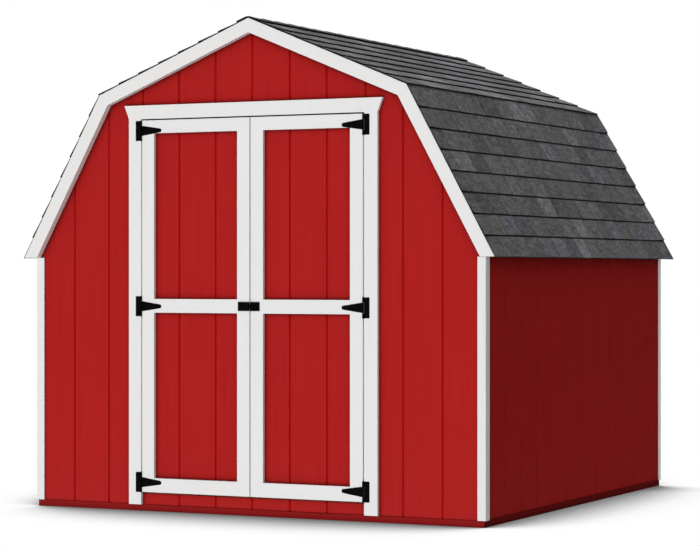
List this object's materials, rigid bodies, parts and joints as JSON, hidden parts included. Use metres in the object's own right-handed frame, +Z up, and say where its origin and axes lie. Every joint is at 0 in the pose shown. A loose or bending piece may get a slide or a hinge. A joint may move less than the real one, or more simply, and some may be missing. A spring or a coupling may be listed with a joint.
{
  "type": "gambrel storage barn",
  "caption": "Small wooden gambrel-roofed storage barn with grooved red panel siding, white trim, shingled roof and a pair of outward-opening hinged doors in the gable front.",
  "frame": {"origin": "on the ground, in the middle of the plan", "axes": "+Z up, front with the doors faces -Y, +X to the right of someone facing the doors"},
  "size_m": [2.5934, 2.5422, 2.4213],
  "materials": {
    "red_siding": "satin red paint on grooved panel siding",
    "base_paint": "dark red paint",
    "white_trim": "satin white paint",
    "shingles": "charcoal mineral granules on asphalt shingles",
    "framing_lumber": "bare sawn softwood",
    "plywood": "bare panel board",
    "black_iron": "black coated steel"
  },
  "bodies": {
    "barn": {"base_end_boards": "base_paint", "base_side_boards": "base_paint", "floor_rims": "framing_lumber", "floor_joists": "framing_lumber", "floor_deck": "plywood", "side_sole_plates": "framing_lumber", "side_top_plates": "framing_lumber", "side_studs": "framing_lumber", "end_sole_plates": "framing_lumber", "front_studs": "framing_lumber", "door_beam": "framing_lumber", "back_studs": "framing_lumber", "lower_rafters": "framing_lumber", "upper_rafters": "framing_lumber", "truss_gussets": "plywood", "eave_blocks": "red_siding", "sheathing_lower_left": "plywood", "sheathing_lower_right": "plywood", "sheathing_upper_left": "plywood", "sheathing_upper_right": "plywood", "shingles_lower_left": "shingles", "shingles_lower_right": "shingles", "shingles_upper_left": "shingles", "shingles_upper_right": "shingles", "ridge_cap": "shingles", "front_siding_left": "red_siding", "front_siding_right": "red_siding", "front_siding_gable": "red_siding", "front_siding_sill": "red_siding", "back_siding": "red_siding", "left_siding": "red_siding", "right_siding": "red_siding", "corner_boards_end": "white_trim", "corner_boards_side": "white_trim", "front_rake_boards": "white_trim", "back_rake_boards": "white_trim", "door_casings": "white_trim", "door_head_trim": "white_trim", "hinge_leaves": "black_iron"},
    "left_door": {"left_door_panel": "red_siding", "left_door_stiles": "white_trim", "left_door_rails": "white_trim", "left_door_straps": "black_iron", "latch_plate": "black_iron"},
    "right_door": {"right_door_panel": "red_siding", "right_door_stiles": "white_trim", "right_door_rails": "white_trim", "right_door_straps": "black_iron", "latch_keeper": "black_iron"}
  },
  "joints": [
    {"name": "left_door_hinge", "type": "hinge", "parent": "barn", "child": "left_door", "pos_m": [-0.6096, -1.25505, 1.013], "axis": [0, 0, -1], "range_deg": [0, 170]},
    {"name": "right_door_hinge", "type": "hinge", "parent": "barn", "child": "right_door", "pos_m": [0.6096, -1.25505, 1.013], "axis": [0, 0, 1], "range_deg": [0, 170]}
  ]
}
